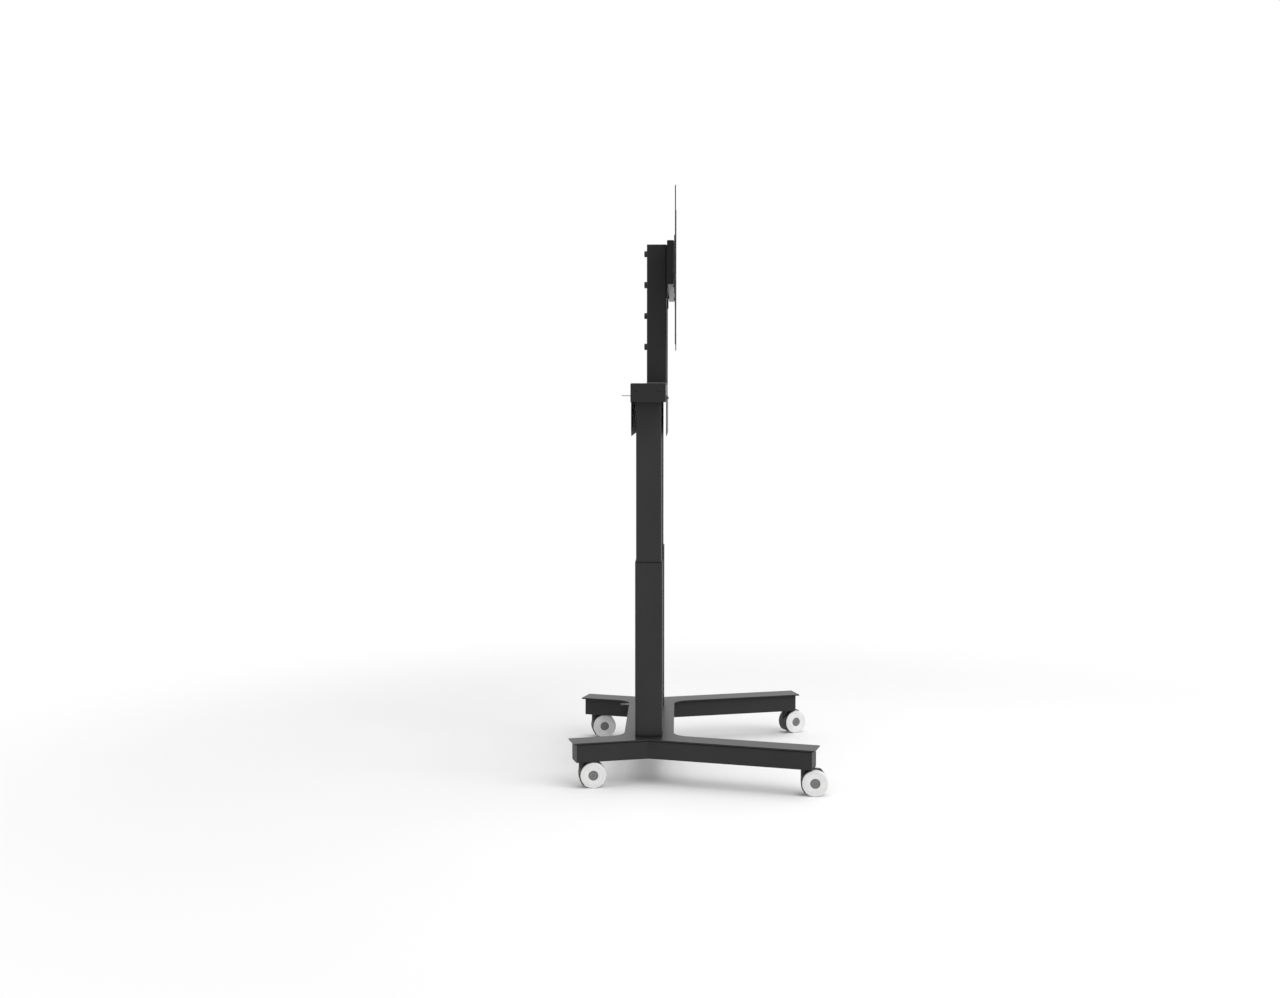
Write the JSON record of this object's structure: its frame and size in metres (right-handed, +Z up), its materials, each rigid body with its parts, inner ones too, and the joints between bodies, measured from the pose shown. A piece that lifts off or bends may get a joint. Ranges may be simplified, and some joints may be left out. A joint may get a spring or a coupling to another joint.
{
  "type": "tv floor stand",
  "caption": "Mobile lift stand for a large display: splayed caster base, two telescopic columns, cross beam, uprights, mounting rail and slotted-rail hole arms.",
  "frame": {"origin": "on the floor, in the middle of the outline seen from above; the columns and the rail are centred 4 mm to the left of it, because one front caster is turned outwards", "axes": "+Z up; +X across the stand, from the left column to the right one; -Y to the side the display faces"},
  "size_m": [0.927, 0.7476, 1.7275],
  "materials": {
    "deck": "glossy dark powder coat that mirrors the room at a flat angle",
    "frame": "satin black powder coat",
    "column": "satin black powder coat",
    "flange": "matt black powder coat",
    "black_plastic": "matt black moulding",
    "steel": "turned steel",
    "zinc": "zinc plated",
    "beam": "satin black powder coat",
    "upright": "satin black powder coat",
    "foot_plate": "glossy dark powder coat",
    "black_oxide": "black oxide",
    "rail": "satin black powder coat",
    "motor": "black painted casting",
    "electronics": "matt black moulding",
    "hood": "black nylon",
    "wheel": "white polyurethane",
    "hub": "grey plastic cap"
  },
  "bodies": {
    "base": {"base_plate": "deck", "foot_left": "frame", "foot_right": "frame", "cross_tube": "frame", "leg_end_plates": "frame", "column_flanges": "flange", "outer_tube_left": "column", "outer_tube_right": "column", "glide_collars": "black_plastic", "nut_tubes": "steel", "base_screws": "zinc"},
    "carriage": {"inner_tube_left": "column", "inner_tube_right": "column", "glide_pads": "black_plastic", "crossbeam": "beam", "beam_floor": "beam", "beam_end_covers": "beam", "drive_motors": "motor", "control_box": "electronics", "power_inlet": "black_plastic", "front_skirt": "beam", "rear_skirt": "beam", "upright_left": "upright", "upright_right": "upright", "upright_feet": "foot_plate", "upright_caps": "black_plastic", "upright_bolts": "black_oxide", "rail_spacers": "upright", "mounting_rail": "rail", "rail_end_caps": "black_plastic", "carriage_screws": "zinc"},
    "spindle_left": {"spindle_left": "steel"},
    "spindle_right": {"spindle_right": "steel"},
    "arm_left": {"arm_bar_left": "rail", "arm_carrier_left": "rail", "arm_clamps_left": "zinc"},
    "arm_right": {"arm_bar_right": "rail", "arm_carrier_right": "rail", "arm_clamps_right": "zinc"},
    "front_left_caster": {"front_left_hood": "hood", "front_left_stem": "zinc"},
    "front_left_rollers": {"front_left_axle": "zinc", "front_left_wheels": "wheel", "front_left_hub_caps": "hub"},
    "front_right_caster": {"front_right_hood": "hood", "front_right_stem": "zinc"},
    "front_right_rollers": {"front_right_axle": "zinc", "front_right_wheels": "wheel", "front_right_hub_caps": "hub"},
    "rear_left_caster": {"rear_left_hood": "hood", "rear_left_stem": "zinc"},
    "rear_left_rollers": {"rear_left_axle": "zinc", "rear_left_wheels": "wheel", "rear_left_hub_caps": "hub"},
    "rear_right_caster": {"rear_right_hood": "hood", "rear_right_stem": "zinc"},
    "rear_right_rollers": {"rear_right_axle": "zinc", "rear_right_wheels": "wheel", "rear_right_hub_caps": "hub"}
  },
  "joints": [
    {"name": "lift", "type": "slide", "parent": "base", "child": "carriage", "axis": [0, 0, 1], "range_m": [-0.4, 0]},
    {"name": "spindle_left_turn", "type": "hinge", "parent": "carriage", "child": "spindle_left", "pos_m": [-0.24809, 0.14096, 1.112], "axis": [0, 0, 1], "range_deg": [-9001, 1]},
    {"name": "spindle_right_turn", "type": "hinge", "parent": "carriage", "child": "spindle_right", "pos_m": [0.23991, 0.14096, 1.112], "axis": [0, 0, 1], "range_deg": [-9001, 1]},
    {"name": "arm_left_slide", "type": "slide", "parent": "carriage", "child": "arm_left", "axis": [1, 0, 0], "range_m": [-0.046, 0.153]},
    {"name": "arm_right_slide", "type": "slide", "parent": "carriage", "child": "arm_right", "axis": [1, 0, 0], "range_m": [-0.153, 0.046]},
    {"name": "front_left_swivel", "type": "hinge", "parent": "base", "child": "front_left_caster", "pos_m": [-0.42288, -0.3063, 0.077], "axis": [0, 0, 1], "continuous": true},
    {"name": "front_left_roll", "type": "hinge", "parent": "front_left_caster", "child": "front_left_rollers", "pos_m": [-0.42429, -0.33327, 0.0375], "axis": [0.9986, -0.0523, 0], "continuous": true},
    {"name": "front_right_swivel", "type": "hinge", "parent": "base", "child": "front_right_caster", "pos_m": [0.4147, -0.3063, 0.077], "axis": [0, 0, 1], "continuous": true},
    {"name": "front_right_roll", "type": "hinge", "parent": "front_right_caster", "child": "front_right_rollers", "pos_m": [0.42654, -0.33057, 0.0375], "axis": [0.8988, 0.4384, 0], "continuous": true},
    {"name": "rear_left_swivel", "type": "hinge", "parent": "base", "child": "rear_left_caster", "pos_m": [-0.3471, 0.32909, 0.077], "axis": [0, 0, 1], "continuous": true},
    {"name": "rear_left_roll", "type": "hinge", "parent": "rear_left_caster", "child": "rear_left_rollers", "pos_m": [-0.34334, 0.30235, 0.0375], "axis": [0.9903, 0.1392, 0], "continuous": true},
    {"name": "rear_right_swivel", "type": "hinge", "parent": "base", "child": "rear_right_caster", "pos_m": [0.33892, 0.32909, 0.077], "axis": [0, 0, 1], "continuous": true},
    {"name": "rear_right_roll", "type": "hinge", "parent": "rear_right_caster", "child": "rear_right_rollers", "pos_m": [0.34314, 0.30242, 0.0375], "axis": [0.9877, 0.1564, 0], "continuous": true}
  ],
  "couplings": [
    {"joint": "spindle_left_turn", "follows": "lift", "rad_per_m": 392.7},
    {"joint": "spindle_right_turn", "follows": "lift", "rad_per_m": 392.7}
  ]
}
